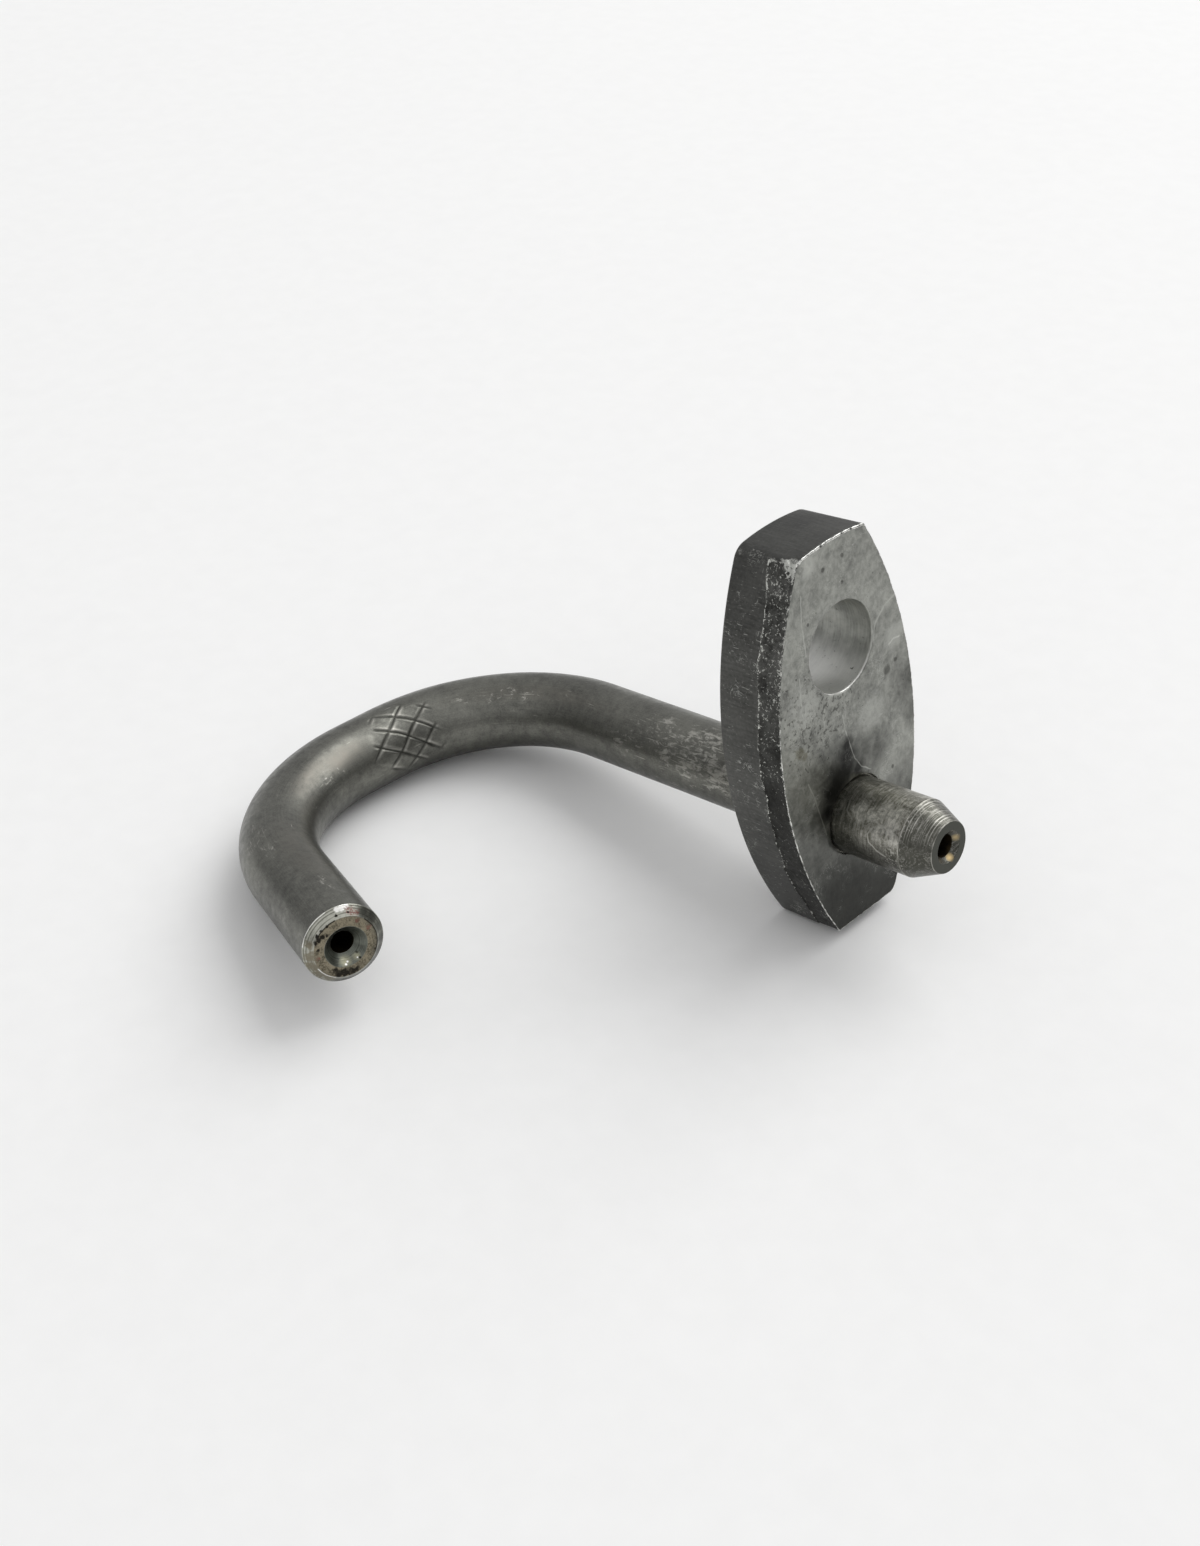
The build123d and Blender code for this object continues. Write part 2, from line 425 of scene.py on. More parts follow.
def phosphatedTubeSteel(add, place, look):
    # drawn steel with a thin phosphate coat: satin dark grey, with painted shade underneath and painted
    # highlights, partly polish where it was held, and rubbed off in pale crumbs
    wrap = add("VectorMath", (add("UVMap", uv_map="wrap"), 1 / mm), operation="SCALE")
    wear, polishAndHighlight, cell, groove = [add("Attribute", output="Fac", attribute_name=key)
                                 for key in ("wear", "polishAndHighlight", "cell", "groove")]
    cloud, mottle, grain, drift = softPatterns(add, place, look["soft"])
    drawn, crumbs, hairs = softPatterns(add, wrap, look["wrapped"])
    tone = cloud
    for share, pattern in ((0.5, mottle), (0.2, drawn), (0.2, grain)):
        tone = add("Mix", (share, tone, pattern))

    # painted shade underneath, and painted highlights, partly polish where it was held
    under = add("SeparateXYZ", [place], output=2)
    under = add("MapRange", (under, *look["underside"]))
    patchy = add("MapRange", (mottle, *look["patchy"]))
    polished = add("Math", (polishAndHighlight, patchy), operation="MULTIPLY")

    # the coat is rubbed off in crumbs and hairlines where the wear is, and in a few elsewhere
    level = add("Math", (drift, 0.55, crumbs), operation="MULTIPLY_ADD")
    level = add("Math", (wear, 0.12, level), operation="MULTIPLY_ADD")
    rubbed = add("MapRange", (level, *look["rubbed"]))
    allowed = add("MapRange", (wear, *look["allowed"]))
    rubbed = add("Math", (rubbed, allowed), operation="MULTIPLY")
    # the grip's bright cells: partly polish, partly painted highlight
    cell = add("Math", (cell, look["cellShare"]), operation="MULTIPLY")
    worn = add("Math", (rubbed, cell), operation="MAXIMUM")
    hairs = add("Math", (wear, 0.08, hairs), operation="MULTIPLY_ADD")
    hairs = add("MapRange", (hairs, *look["hairs"]))
    groove = add("Math", (groove, look["grooveShare"]), operation="MULTIPLY")
    layers = [(under, look["groove"]), (polished, look["polished"]), (worn, look["worn"]),
              (hairs, look["scratch"]), (groove, look["groove"])]

    relief = add("Mix", (0.5, grain, drawn))
    relief = add("Mix", (0.35, relief, mottle))
    relief = add("Math", (rubbed, 0.5, relief), operation="MULTIPLY_ADD")
    return tone, layers, relief, add("MapRange", (mottle, *look["roughness"]))


spigotFinish = {
    "coat": ((0.38, "#58584f"), (0.5, "#918f85"), (0.66, "#e4e2d9")),
    "dull": "#58584f",
    "bright": "#e4e2da",
    "under": "#41413b",
    "taper": "#494943",
    "tip": "#42433d",
    "brass": "#d8bf8c",
    "roughness": 0.36,
    "shader": {"Metallic": 0.9},
    "bump": (0.14, 0.05),
    "ringSize": 0.16,
    "soft": {
        "rubs": (1.5, 7, 0.68, 1.1),
        "grain": (0.14, 2, 0.5, 0),
        "haze": (0.42, 6, 0.75, 0.5),
        "fine": (0.22, 3, 0.6, 0),
    },
    "wrapped": {"streaks": ((1.6, 0.22, 1), 5, 0.65, 0.7, (0, 0, 0.35))},
    "fromPlate": (0.4, 3.2, -0.07, 0.02),
    "haze": (0.6, 0.36, 0, 0.66),
    "underside": (1.7, -0.5, 0, 0.78),  # by height
    "threads": (0.012, 0.002, 0.5),  # how far from the pattern's middle they end and are full, and how bright
    "beforeTaper": (7.0, 1.8, 0.2, 0.1),  # middle of the specks along the spigot, and the same
    "specks": (0.64, 0.72, 0, 0.8),
    "taperShade": 0.85,
    "upperSide": (1.2, 2.8),
    "glints": (0.5, 0.66),
    "rimBreaks": (0.3, 0.55),
    "brightness": 0.5,
    "rubbedSpots": {"ragged": 0.9, "crumbSize": 0.8, "strength": 0.11, "spots": [  # x, y, z, radius
        (2.9, -2.9, 2.5, 1.3), (4.2, -2.7, 2.8, 1.1), (5.2, -2.2, 3.2, 1.2), (6.7, -1.8, 3.3, 1.1),
        (6.4, -3.0, 2.3, 1.3), (5.2, -3.5, 1.6, 1.0), (7.2, -3.5, 1.4, 0.8)]},
    "scratches": [  # strength, width and the points of each
        (1.0, 0.12, [(4.7, -3.25, 2.0), (4.2, -3.62, 1.2), (4.5, -3.78, 0.5), (5.3, -3.82, -0.1),
                     (6.3, -3.8, -0.5)]),
        (0.8, 0.14, [(4.6, -2.9, 2.5), (5.6, -3.1, 2.2), (6.6, -3.2, 2.05), (7.4, -3.3, 1.9)]),
        (0.75, 0.12, [(6.0, -2.5, 2.9), (6.3, -3.0, 2.4), (6.4, -3.5, 1.6), (6.9, -3.75, 0.8)]),
        (0.6, 0.12, [(1.2, -2.2, 3.1), (1.4, -2.9, 2.5), (2.2, -3.3, 1.9)]),
    ],
    "brassGlints": [(0.45, (10.42, 1.42, 0.3, 0.5)), (1.0, (10.4, 0.35, -1.38, 0.5))],  # painted highlights in the inlet's mouth: strength and spot
}


def turnedSpigotSteel(add, place, look):
    # turned steel that has been in and out of its bore: cloudy pale rubbing marks on dark grey-brown,
    # and a dark taper
    wrap = add("VectorMath", (add("UVMap", uv_map="wrap"), 1 / mm), operation="SCALE")
    turning, rim, tip = [add("Attribute", output="Fac", attribute_name=key)
                         for key in ("turning", "rim", "tip")]
    axial, height = [add("SeparateXYZ", [place], output=k) for k in (0, 2)]
    rings = add("TexNoise", {
        "W": turning, "Scale": 1 / look["ringSize"], "Detail": 2.0}, noise_dimensions="1D")
    rubs, grain, haze, fine = softPatterns(add, place, look["soft"])
    streaks = softPatterns(add, wrap, look["wrapped"])[0]

    # rubbed most along its upper middle, and darker underneath, against the plate and on the taper
    tone = add("Mix", (0.45, rubs, streaks))
    tone = add("Mix", (0.12, tone, rings))
    fromPlate = add("MapRange", (axial, *look["fromPlate"]))
    for lighter in (fromPlate, spotMask(add, place, **look["rubbedSpots"])):
        tone = add("Math", (tone, lighter), operation="ADD")
    haze = add("MapRange", (haze, *look["haze"]))
    under = add("MapRange", (height, *look["underside"]))
    taperFrom = tube["spigotLength"] - tube["taperLength"]
    onTaper = add("MapRange", (axial, taperFrom - 0.05, taperFrom + 0.1))
    shaded = add("Math", (onTaper, look["taperShade"]), operation="MULTIPLY")

    # thin pale threads, specks before the taper, glints on the taper's upper side, and scratches
    specks = add("Math", (fine, nearMask(add, axial, *look["beforeTaper"])), operation="ADD")
    specks = add("MapRange", (specks, *look["specks"]))
    upper = add("MapRange", (height, *look["upperSide"]))
    upper = add("Math", (upper, onTaper), operation="MULTIPLY")
    glints = add("Mix", (0.45, rings, streaks))
    glints = add("MapRange", (glints, *look["glints"]))
    glints = add("Math", (glints, upper), operation="MULTIPLY")
    broken = add("Math", (rim, streaks), operation="MULTIPLY")
    broken = add("MapRange", (broken, *look["rimBreaks"]))
    bright = nearMask(add, rubs, 0.5, *look["threads"])
    for mark in (specks, glints, broken, lineMask(add, place, look["scratches"])):
        bright = add("Math", (bright, mark), operation="MAXIMUM")
    bright = add("Math", (bright, look["brightness"]), operation="MULTIPLY")

    layers = [(haze, look["dull"]), (under, look["under"]), (shaded, look["taper"]), (bright, look["bright"]),
              (tip, look["tip"])]
    # painted highlights: golden glints in the inlet's mouth
    for strength, spot in look["brassGlints"]:
        layers.append((spotMask(add, place, [spot], strength, 0.2, 0.5, 0.2), look["brass"]))
    return tone, layers, add("Mix", (0.5, rings, grain)), look["roughness"]


nozzleFinish = {
    "coat": ((0.4, "#77776e"), (0.56, "#b6b6ab")),
    "film": ((0.4, "#5c574a"), (0.54, "#8f8774")),
    "shade": "#53544d",
    "dull": "#2c2b27",
    "mouth": "#50554e",
    "gleam": "#cfcbab",
    "rust": "#7d4a45",
    "grime": "#1f1d19",
    "scratched": "#7d7767",
    "polish": "#f8f7f2",
    "roughness": (0, 1, 0.3, 0.5),  # from the bare steel to the film
    "shader": {"Metallic": 0.92},
    "bump": (0.45, 0.06),
    "ringSize": 0.13,
    "soft": {"stains": (0.7, 6, 0.7, 0), "specks": (0.17, 3, 0.6, 0)},
    "mouthShade": 0.78,
    "speckled": (0.46, 0.54, 0.25, 0.9),
    "mottled": (0.36, 0.5, 0.6, 0.97),
    "ringWander": 0.12,
}
# by kind, in the order in which they lie: degrees from the top, distance from the axis and radius of each
nozzleMarks = {
    "shade": {"strength": 0.92, "ragged": 0.3, "core": 0.3, "spots": [
        (-44, 3.6, 1.0), (-62, 3.6, 1.2), (-82, 3.6, 1.2), (-102, 3.6, 1.2), (-122, 3.6, 1.2),
        (-142, 3.7, 1.1), (-160, 3.8, 0.9), (160, 3.8, 0.9), (180, 3.8, 1.0)]},
    # painted shade on the chamfer's lower right
    "dull": {"strength": 0.7, "ragged": 0.3, "core": 0.3, "spots": [
        (-104, 3.7, 0.6), (-120, 3.7, 0.8), (-136, 3.7, 0.9), (-152, 3.75, 0.9), (-168, 3.8, 0.8),
        (176, 3.8, 0.7)]},
    "gleam": {"strength": 0.6, "ragged": 0.3, "core": -0.2, "spots": [(171, 1.75, 0.75), (-152, 1.8, 0.5)]},
    "scratched": {"strength": 1.0, "ragged": 0.8, "spots": [
        (86, 3.4, 0.75), (104, 3.5, 0.8), (124, 3.5, 0.75), (66, 3.5, 0.55), (142, 3.5, 0.6)]},
    # partly polish, partly painted highlights: the glints in the mouth and the bright arcs by the rim
    "polish": {"strength": 0.97, "ragged": 0.3, "spots": [
        (-2, 3.8, 0.33), (-9, 3.83, 0.42), (-16, 3.88, 0.34), (170, 1.95, 0.15), (176, 1.8, 0.13),
        (-153, 1.9, 0.1)]},
    "rust": {"strength": 0.8, "ragged": 0.8, "spots": [
        (-21, 3.55, 0.55), (-30, 3.45, 0.45), (-36, 2.75, 0.3), (-66, 2.75, 0.3), (92, 2.8, 0.25)]},
    "grime": {"strength": 1.0, "ragged": 0.8, "spots": [
        (2, 3.4, 0.17), (-18, 3.43, 0.13), (44, 2.75, 0.36), (53, 2.95, 0.32), (60, 3.1, 0.28),
        (38, 2.4, 0.18), (47, 3.2, 0.22), (36, 3.15, 0.2), (24, 3.1, 0.17), (143, 2.6, 0.42),
        (154, 2.7, 0.55), (166, 2.7, 0.6), (178, 2.75, 0.55), (189, 2.8, 0.4), (170, 3.75, 0.36),
        (-143, 1.64, 0.16), (-148, 2.02, 0.15), (74, 2.7, 0.2), (-118, 2.95, 0.16)]},
}
nozzleRings = {  # distance from the axis, first and last angle, width
    "polish": [(3.97, 14, 72, 0.07), (3.22, 112, 150, 0.08)],
    "grime": [(3.12, -48, -124, 0.1), (3.13, 8, 46, 0.1)],
}


def onNozzle(angle, distance):  # a place on the nozzle's turned end: its chamfer, flat face or mouth
    centre, direction, outward = [v[0] for v in followTube(np.array([tubeLength]))]
    turn = math.radians(angle)
    outletRadius, outletDepth = tube["outletMouth"]
    chamfered = max(0, distance - tube["nozzleFaceRadius"]) / (tube["radius"] - tube["nozzleFaceRadius"])
    inMouth = max(0, outletRadius - distance) / (outletRadius - tube["boreRadius"])
    sunk = chamfered * tube["nozzleChamfer"] + inMouth * outletDepth
    spoke = math.cos(turn) * np.array([0, 0, 1]) + math.sin(turn) * outward
    return centre + distance * spoke - sunk * direction


def turnedNozzleSteel(add, place, look):
    # freshly turned bare steel: bright with a yellowish cast, with fine rings, a tan film on the face, rust
    # and grime, and painted shade and highlights on its chamfer and in its mouth
    turning, onFace, mouth = [add("Attribute", output="Fac", attribute_name=key)
                              for key in ("turning", "film", "mouth")]
    rings = add("TexNoise", {
        "W": turning, "Scale": 1 / look["ringSize"], "Detail": 2.0}, noise_dimensions="1D")
    stains, specks = softPatterns(add, place, look["soft"])
    tone = add("Mix", (0.55, stains, rings))
    film = add("Mix", (0.5, stains, specks))
    film = add("ValToRGB", [film], look["film"])
    mouth = add("Math", (mouth, look["mouthShade"]), operation="MULTIPLY")
    layers = [(onFace, film), (mouth, look["mouth"])]
    mottled = add("MapRange", (stains, *look["mottled"]))
    speckled = add("MapRange", (specks, *look["speckled"]))
    textures = {"scratched": mottled, "rust": speckled, "grime": mottled}
    for kind, marks in nozzleMarks.items():
        spots = [(*onNozzle(angle, distance), radius) for angle, distance, radius in marks["spots"]]
        mask = spotMask(add, place, crumbSize=0.3, **{**marks, "spots": spots})
        if kind in nozzleRings:
            lines = []
            for distance, first, last, width in nozzleRings[kind]:
                points = [onNozzle(angle, distance) for angle in np.linspace(first, last, 5)]
                lines.append((marks["strength"], width, points))
            line = lineMask(add, place, lines, look["ringWander"])
            mask = add("Math", (mask, line), operation="MAXIMUM")
        amount = add("Math", (mask, textures.get(kind, 1.0)), operation="MULTIPLY")
        layers.append((amount, look[kind]))
    relief = add("Mix", (0.35, rings, specks))
    relief = add("Math", (mask, 0.5, relief), operation="MULTIPLY_ADD")  # the grime, which lies on top
    return tone, layers, relief, add("MapRange", (onFace, *look["roughness"]))


boreFinish = {
    "coat": ((0.4, "#1d1a16"), (0.65, "#3d3423")),
    "roughness": 0.5,
    "bump": (0.3, 0.05),
    "soft": {"film": (1.0, 4, 0.5, 0)},
}


def oiledBoreSteel(add, place, look):
    # the oil bore, drawn and never cleaned: nearly black, with a brown film of old oil
    film = softPatterns(add, place, look["soft"])[0]
    return film, [], film, look["roughness"]


makeTube()


# Flange: a thick blanked plate, sheared smooth at the back and torn towards the seat face

flangeBox = [np.array(corner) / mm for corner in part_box("mounting_flange")]
flange = {
    "thickness": -flangeBox[0][0],
    "halfWidth": flangeBox[1][1],
    "bottom": flangeBox[0][2],
    "top": flangeBox[1][2],
    "waist": 9.0,  # height of the side arcs' centres
    "sideArc": 41.0,
    "crownArc": 26.0,
    "backCorners": (1.4, 2.0, 2.0, 0.9),  # low right, top right, top left and low left, seen from the spigot
    "seatCorners": (1.4, 0.9, 0.55, 0.4),
    "holes": ((18.0, 4.45, 0.09, 150), (0.0, 4.03, 0.05, 120)),  # height, radius, edge break and points round
    "dieRoll": 0.25,
    "breakLine": -2.56,  # where the smooth zone ends, on the average
    "breakWave": 0.32,
    "breakDrop": (0.8, 24.5, 28.5),  # how much further back it lies at the top, and where that grows
    "ledge": 0.07,  # how far the torn zone steps in
    "tornIn": 0.12,  # how far it has drawn in at the seat face
    "tornRoughness": 0.08,
    "burrWidth": 0.085,
    "burrRagged": (0.06, 0.02),
    "onTop": (0.62, 0.9),  # how far the edge faces up, where the sides end and the crowned end begins
    "atCorners": (0.5, 0.66, 0.86, 0.965),  # the same where the worn corners rise and fall
    "wornEdge": 0.74,
    "wornCorner": 0.62,
    "nick": (-0.35, -4.95, 28.2),  # the dent at the seat face's top left corner
    "nickSize": 1.15,
    "nickDepth": 0.3,
    "flatness": 0.02,
    "rings": (7, 20, 26),  # of points: in the die roll, in the smooth and the torn zone, and in a hole
    "cornerPoints": 12,
    "endPoints": (60, 50),  # along the crowned end and the low end
    "outlineStep": 0.2,
    "faceStep": 0.34,
    "faceMargin": 0.55,  # between the outline and the points inside it
    "holeMargin": 0.4,
    "topClear": (4.9, 0.8, 1.4),  # across, below the top, and how far round that there are no points inside
    "lowClear": (3.6, 1.7),
    "faceShake": 0.3,  # of a step
}


def halfOutline(inset, lowCorner, topCorner):
    # the outline's right half, from the flat low end up the side arc to the crown, drawn in by an inset
    side = np.array([flange["halfWidth"] - flange["sideArc"], flange["waist"]])
    crown = np.array([0.0, flange["top"] - flange["crownArc"]])
    sideRadius, crownRadius = flange["sideArc"] - inset, flange["crownArc"] - inset
    lowHeight = flange["bottom"] + inset + lowCorner
    across = math.sqrt((sideRadius - lowCorner) ** 2 - (lowHeight - side[1]) ** 2)
    low = np.array([side[0] + across, lowHeight])

    # the top corner's centre is where two circles cross, each a corner's radius inside its arc
    apart = np.linalg.norm(crown - side)
    unit = (crown - side) / apart
    inSide, inCrown = sideRadius - topCorner, crownRadius - topCorner
    share = (inSide ** 2 - inCrown ** 2 + apart ** 2) / (2 * apart)
    top = side + share * unit + math.sqrt(inSide ** 2 - share ** 2) * np.array([-unit[1], unit[0]])

    lowTurn, topTurn, crownTurn = [math.atan2(*step[::-1]) for step in (low - side, top - side, top - crown)]
    count, few = round((flange["top"] - flange["bottom"]) / flange["outlineStep"]), flange["cornerPoints"]
    points = []
    for centre, radius, turns in (
            (low, lowCorner, np.linspace(-math.pi / 2, lowTurn, few, endpoint=False)),
            (side, sideRadius, np.linspace(lowTurn, topTurn, count, endpoint=False)),
            (top, topCorner, np.linspace(topTurn, crownTurn, few + 1))):
        points.append(centre + radius * np.stack([np.cos(turns), np.sin(turns)], -1))
    return np.concatenate(points), crownTurn


def outline(inset, corners):  # the whole barrel outline, always with the same number of points
    lowRight, topRight, topLeft, lowLeft = [max(0.2, c - inset) for c in corners]
    right, rightTurn = halfOutline(inset, lowRight, topRight)
    left, leftTurn = halfOutline(inset, lowLeft, topLeft)
    left = left[::-1] * np.array([-1, 1])
    onCrown, onLow = flange["endPoints"]
    turns = np.linspace(rightTurn, math.pi - leftTurn, onCrown)[1:-1]
    radius, middle = flange["crownArc"] - inset, flange["top"] - flange["crownArc"]
    crown = np.stack([radius * np.cos(turns), middle + radius * np.sin(turns)], -1)
    low = np.linspace(left[-1], right[0], onLow)[1:-1]
    return np.concatenate([right, crown, left, low])


def flangeWall():  # rings of points round the blanked edge, from back face to seat face, with their wear
    thickness, roll, ledge, tornIn = flange["thickness"], flange["dieRoll"], flange["ledge"], flange["tornIn"]
    backCorners, seatCorners = np.array(flange["backCorners"]), np.array(flange["seatCorners"])
    base = outline(0, seatCorners)
    count = len(base)
    spot = np.concatenate([np.zeros((count, 1)), base], 1)
    along = np.roll(base, -1, 0) - np.roll(base, 1, 0)
    facingUp = -along[:, 0] / np.linalg.norm(along, axis=1)
    side = 1 - smoothStep(*flange["onTop"], facingUp)
    rise, full, fall, end = flange["atCorners"]
    corner = smoothStep(rise, full, facingUp) * (1 - smoothStep(fall, end, facingUp))
    wave = fractal(spot, 5.0, 2, 3.0) + 0.6 * fractal(spot, 1.1, 3, 8.0)  # long waves with short ones on them
    drop, dropFrom, dropTo = flange["breakDrop"]
    breakLine = flange["breakLine"] + flange["breakWave"] * wave
    breakLine -= drop * smoothStep(dropFrom, dropTo, base[:, 1]) * side

    inRoll, inZone = flange["rings"][:2]
    rows = []  # depth, inset, zone, worn edge, torn, and where the inset counts
    for turn in np.linspace(0, math.pi / 2, inRoll):
        depth, inset = -thickness + roll * (1 - math.cos(turn)), roll * (1 - math.sin(turn))
        rows.append((depth, inset, "sheared", 0.5 * math.sin(2 * turn), 0, 1))
    start = -thickness + roll
    worn = flange["wornEdge"] * side
    for share in np.linspace(0, 1, inZone)[1:]:
        rows.append((start + share * (breakLine - start), 0, "sheared", worn if share == 1 else 0, 0, 1))
    rows.append((breakLine + 0.04, 0.4 * ledge, "torn", worn, 0.5 * side, side))
    start = breakLine + 0.12
    for share in np.linspace(0, 1, inZone)[:-1]:
        rows.append((start + share * (-0.1 - start), ledge + share * (tornIn - ledge), "torn", 0, side, side))
    burr = flange["burrWidth"]
    rows += [(-0.7 * burr, tornIn, "torn", 0.4, 0.6 * side, side),
             (-0.1 * burr, tornIn + 0.25 * burr, "burr", 1, 0, 0.3 + 0.7 * side),
             (0, tornIn + burr, "burr", 1, 0, 1),
             (0, tornIn + 2 * burr, "seat", 0.5, 0, 1)]
    wall = []
    for depth, inset, zone, edge, torn, where in rows:
        corners = seatCorners + (backCorners - seatCorners) * np.clip(-np.mean(depth) / thickness, 0, 1)
        ring = outline(0, corners)
        ring += (outline(inset, corners) - ring) * np.broadcast_to(where, count)[:, None]
        wall.append(np.concatenate([np.broadcast_to(depth, count)[:, None], ring], 1))
    wall = np.array(wall)
    edge = np.array([np.maximum(row[3], flange["wornCorner"] * corner) for row in rows])
    torn = np.array([np.broadcast_to(row[4], count) for row in rows])

    # tears in the fracture, and a ragged burr
    inward = np.array([0, 0, flange["waist"]]) - wall
    inward[:, :, 0] = 0
    inward /= np.linalg.norm(inward, axis=2, keepdims=True)
    tears = fractal(wall * np.array([0.55, 1, 1]), 0.7, 4, 5.0)
    wall += inward * (torn * flange["tornRoughness"] * np.abs(tears))[:, :, None]
    ragged, lift = flange["burrRagged"]
    wall[-4:-1] += inward[-4:-1] * (ragged * fractal(wall, 0.8, 3, 11.0)[-4:-1] + lift)[:, :, None]
    return wall, edge, torn, [row[2] for row in rows], side < 0.5


def holeWall(height, radius, chamfer, segments):  # rings from back face to seat face, and which are the rim
    thickness = flange["thickness"]
    turn = np.linspace(0, 2 * math.pi, segments, endpoint=False)
    stations = [(-thickness, radius + 0.06), (-thickness + 0.08, radius)]
    stations += [(x, radius) for x in np.linspace(-thickness, -chamfer, flange["rings"][2])[1:-1]]
    stations += [(-chamfer, radius), (0.0, radius + chamfer)]
    rings = np.array([[(x, r * math.cos(t), height + r * math.sin(t)) for t in turn] for x, r in stations])
    away = rings - np.array([0, 0, height])
    away[:, :, 0] = 0
    away /= np.linalg.norm(away, axis=2, keepdims=True)
    rim = np.zeros(len(stations))
    rim[-2:] = 1.0
    return rings + away * (0.035 * rim[:, None] * fractal(rings, 0.6, 2, 17.0))[:, :, None], rim


def facePoints():  # slightly shaken grid points inside the outline and clear of the holes and corners
    step, margin = flange["faceStep"], flange["faceMargin"]
    grid = np.mgrid[-flange["halfWidth"]:flange["halfWidth"]:step, flange["bottom"]:flange["top"]:step]
    grid = grid.reshape(2, -1).T
    spots = np.concatenate([np.full((len(grid), 1), 3.0), grid], 1)
    shaken = np.stack([fractal(spots, 0.3, 1, shift) for shift in (1.0, 7.0)], -1)
    grid = grid + flange["faceShake"] * step * shaken
    across, up = np.abs(grid[:, 0]), grid[:, 1]
    reach = np.hypot(across - flange["halfWidth"] + flange["sideArc"], up - flange["waist"])
    crown = np.hypot(across, up - flange["top"] + flange["crownArc"])
    inner = (reach < flange["sideArc"] - margin) & (crown < flange["crownArc"] - margin)
    inner &= up > flange["bottom"] + margin
    for height, radius, *rest in flange["holes"]:
        inner &= np.hypot(across, up - height) > radius + flange["holeMargin"]
    middle, below, clear = flange["topClear"]
    inner &= np.hypot(across - middle, up - flange["top"] + below) > clear
    middle, clear = flange["lowClear"]
    inner &= np.hypot(across - middle, up - flange["bottom"]) > clear
    return grid[inner]


def makeFlange():
    wall, edge, torn, zones, onTop = flangeWall()
    count = wall.shape[1]
    finishNames = ("sheared", "torn", "burr", "seat", "hole", "back")
    points, edges, tears, faces, finish = [wall.reshape(-1, 3)], [edge.ravel()], [torn.ravel()], [], []
    for quad in wallFaces(len(wall), count).tolist():
        zone = zones[quad[0] // count + 1]
        faces.append(quad)
        finish.append("sheared" if zone == "torn" and onTop[quad[0] % count] else zone)
    total = len(wall) * count
    loops = {"back": [np.arange(count)], "seat": [np.arange(count) + total - count]}
    for height, radius, chamfer, segments in flange["holes"]:
        rings, rim = holeWall(height, radius, chamfer, segments)
        quads = wallFaces(len(rim), segments, first=total)[:, ::-1]
        faces += quads.tolist()
        finish += ["hole"] * len(quads)
        points.append(rings.reshape(-1, 3))
        edges.append(np.repeat(rim, segments))
        loops["back"].append(total + np.arange(segments))
        total += len(rim) * segments
        loops["seat"].append(total - segments + np.arange(segments))

    # the two flat faces, filled between the outline and the holes
    made = np.concatenate(points)
    for name, level, sign in (("back", -flange["thickness"], -1), ("seat", 0.0, 1)):
        ids = np.concatenate(loops[name])
        flat = [Vector(made[i, 1:3]) for i in ids]
        ties, first = [], 0
        for loop in loops[name]:
            ties += [(first + k, first + (k + 1) % len(loop)) for k in range(len(loop))]
            first += len(loop)
        found = delaunay_2d_cdt(flat + [Vector(p) for p in facePoints()], ties, [], 1, 1e-7)
        numbers, new = [], []
        for place, sources in zip(found[0], found[3]):
            if sources and sources[0] < len(flat):
                numbers.append(int(ids[sources[0]]))
            else:
                numbers.append(total + len(new))
                new.append((level, place[0], place[1]))
        new = np.array(new)
        new[:, 0] += sign * flange["flatness"] * (fractal(new, 5.0, 2, 21.0) - 1)
        for face in found[2]:
            middle = sum((found[0][k] for k in face), Vector((0, 0))) / len(face)
            if all(math.hypot(middle[0], middle[1] - hole[0]) >= hole[1] for hole in flange["holes"]):
                faces.append([numbers[k] for k in face][::sign])
                finish.append(name)
        made = np.concatenate([made, new])
        total += len(new)

    # the dent, with a ragged middle and a raised rim
    away = np.linalg.norm(made - np.array(flange["nick"]), axis=1) / flange["nickSize"]
    bruise = (1 - smoothStep(0.55, 1.0, away)) * (0.6 + 0.8 * fractal(made, 0.45, 3, 31.0))
    made[:, 2] -= flange["nickDepth"] * bruise
    made[:, 0] -= 0.5 * flange["nickDepth"] * np.clip(bruise, 0, None)
    layers = {"nick": 1 - smoothStep(0.6, 1.25, away)}
    for key, values in (("edge", edges), ("torn", tears)):
        values = np.concatenate(values)
        layers[key] = np.append(values, np.zeros(len(made) - len(values)))
    piece = buildPiece("flangePlate", np.clip(made, *flangeBox), faces, layers, [
        (shearedSteel, edgeFinish), (tornSteel, tornFinish), (burrSteel, burrFinish),
        (seatFaceSteel, seatFinish), (drilledSteel, holeFinish), (shearedSteel, edgeFinish)],
        [finishNames.index(name) for name in finish])
    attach(piece, "root")
    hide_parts("mounting_flange")
    print("flange:", sum(len(f) - 2 for f in faces), "triangles")


